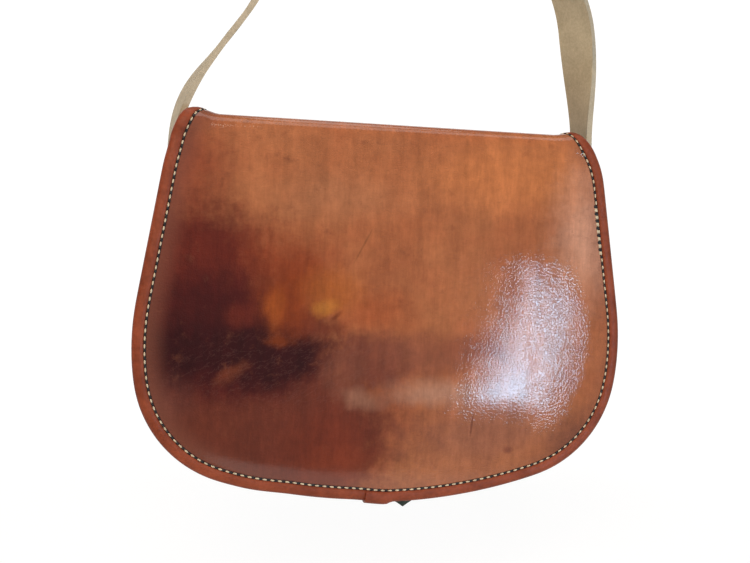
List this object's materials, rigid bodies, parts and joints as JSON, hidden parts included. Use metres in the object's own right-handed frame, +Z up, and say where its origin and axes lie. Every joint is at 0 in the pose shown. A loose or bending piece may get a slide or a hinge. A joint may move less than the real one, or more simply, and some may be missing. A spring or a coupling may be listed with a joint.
{
  "type": "saddle handbag",
  "caption": "Leather saddle handbag with a full bound flap over a gusseted body, a tongue and stud closure and a buckled shoulder strap.",
  "frame": {"origin": "under the strap's highest point, in the middle of its width, where it hangs on a peg or a shoulder", "axes": "+X to the right of someone who looks at the flap, -Y out of the flap's face, +Z up"},
  "size_m": [0.3, 0.0752, 0.4402],
  "materials": {
    "dyed_leather": "hand dyed cognac leather, waxed to a gloss",
    "binding_leather": "plain rust coloured leather strip, satin",
    "suede_lining": "napped suede",
    "strap_leather": "strap leather, flesh side out, matt",
    "brass": "polished, worn"
  },
  "bodies": {
    "strap": {"strap_long": "strap_leather", "strap_short": "strap_leather", "buckle_frame": "brass", "buckle_prong": "brass"},
    "keeper": {"strap_keeper": "strap_leather"},
    "bag": {"back_panel": "dyed_leather", "back_binding": "binding_leather", "front_panel": "dyed_leather", "front_binding": "binding_leather", "mouth_binding": "binding_leather", "gusset": "dyed_leather", "closure_stud": "brass", "stud_patch": "strap_leather", "stud_screw": "brass", "strap_rivets": "brass", "rivet_burrs": "brass", "strap_spacers": "strap_leather"},
    "flap_neck": {"flap_top": "dyed_leather", "flap_top_lining": "suede_lining", "flap_top_binding": "binding_leather"},
    "flap": {"flap_front": "dyed_leather", "flap_front_lining": "suede_lining", "flap_binding_left": "binding_leather", "flap_binding_right": "binding_leather", "closure_tongue": "strap_leather"}
  },
  "joints": [
    {"name": "bag_swing", "type": "hinge", "parent": "strap", "child": "bag", "pos_m": [0, 0, -0.2411], "axis": [1, 0, 0], "range_deg": [-2, 40]},
    {"name": "flap_rear_fold", "type": "hinge", "parent": "bag", "child": "flap_neck", "pos_m": [0, 0.0111, -0.2051], "axis": [-1, 0, 0], "range_deg": [0, 10]},
    {"name": "flap_front_fold", "type": "hinge", "parent": "flap_neck", "child": "flap", "pos_m": [0, -0.0153, -0.2051], "axis": [-1, 0, 0], "range_deg": [0, 95]},
    {"name": "keeper_slide", "type": "slide", "parent": "strap", "child": "keeper", "axis": [0.309, 0, 0.9511], "range_m": [-0.006, 0.006]}
  ]
}
